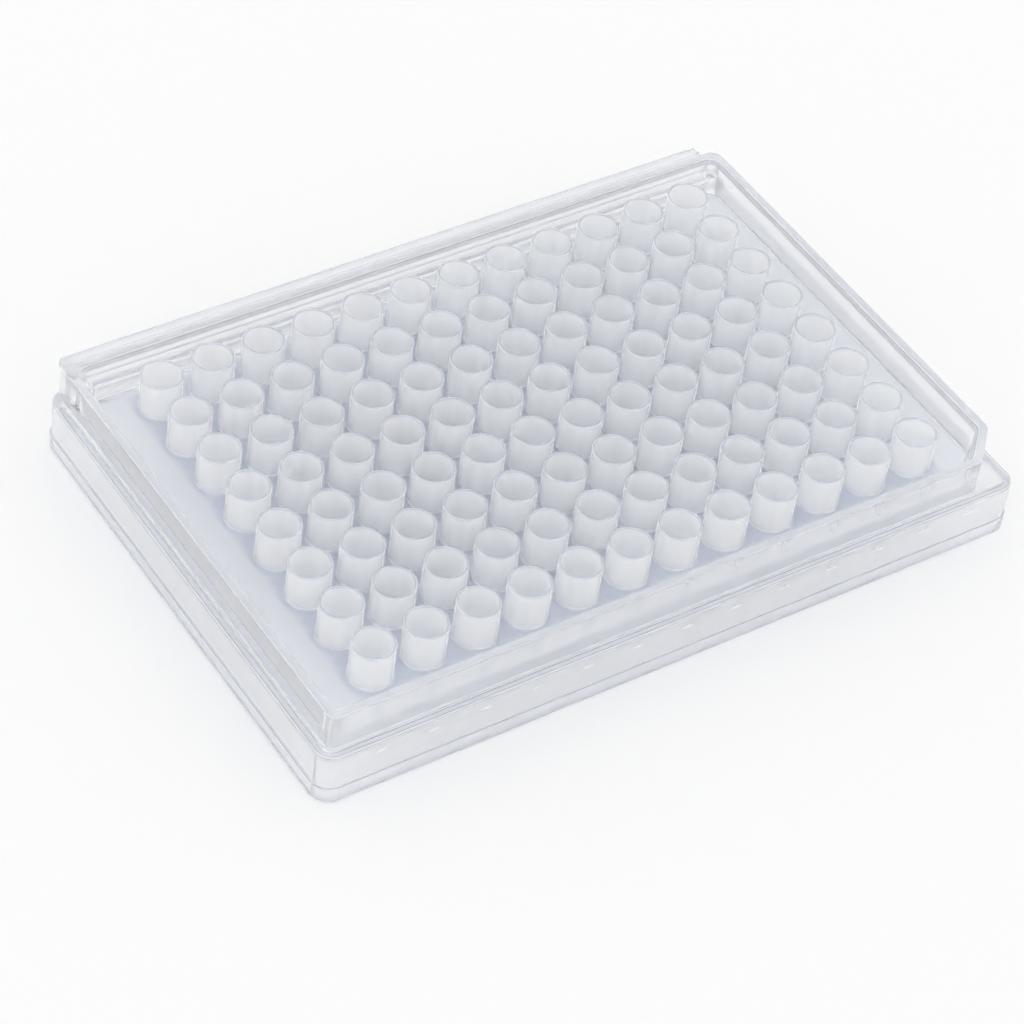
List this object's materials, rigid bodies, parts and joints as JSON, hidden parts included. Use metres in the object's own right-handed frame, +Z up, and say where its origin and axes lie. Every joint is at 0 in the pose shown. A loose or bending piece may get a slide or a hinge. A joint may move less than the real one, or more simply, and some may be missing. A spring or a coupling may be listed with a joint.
{
  "type": "well plate",
  "caption": "Clear plastic multiwell plate: open round wells on a square grid stand in a walled tray on a hollow skirt with a foot flange and one cut wall corner.",
  "frame": {"origin": "middle of the footprint, on the face the plate stands on", "axes": "+X along the columns from 1 to 12, which is the longest extent; +Y from row H towards row A; +Z up, out of the wells' mouths"},
  "size_m": [0.1278, 0.0854, 0.0172],
  "materials": {
    "clear_polystyrene": "clear, glossy moulding, faintly bluish in thick places"
  },
  "bodies": {
    "root": {"well_plate": "clear_polystyrene"}
  },
  "joints": []
}
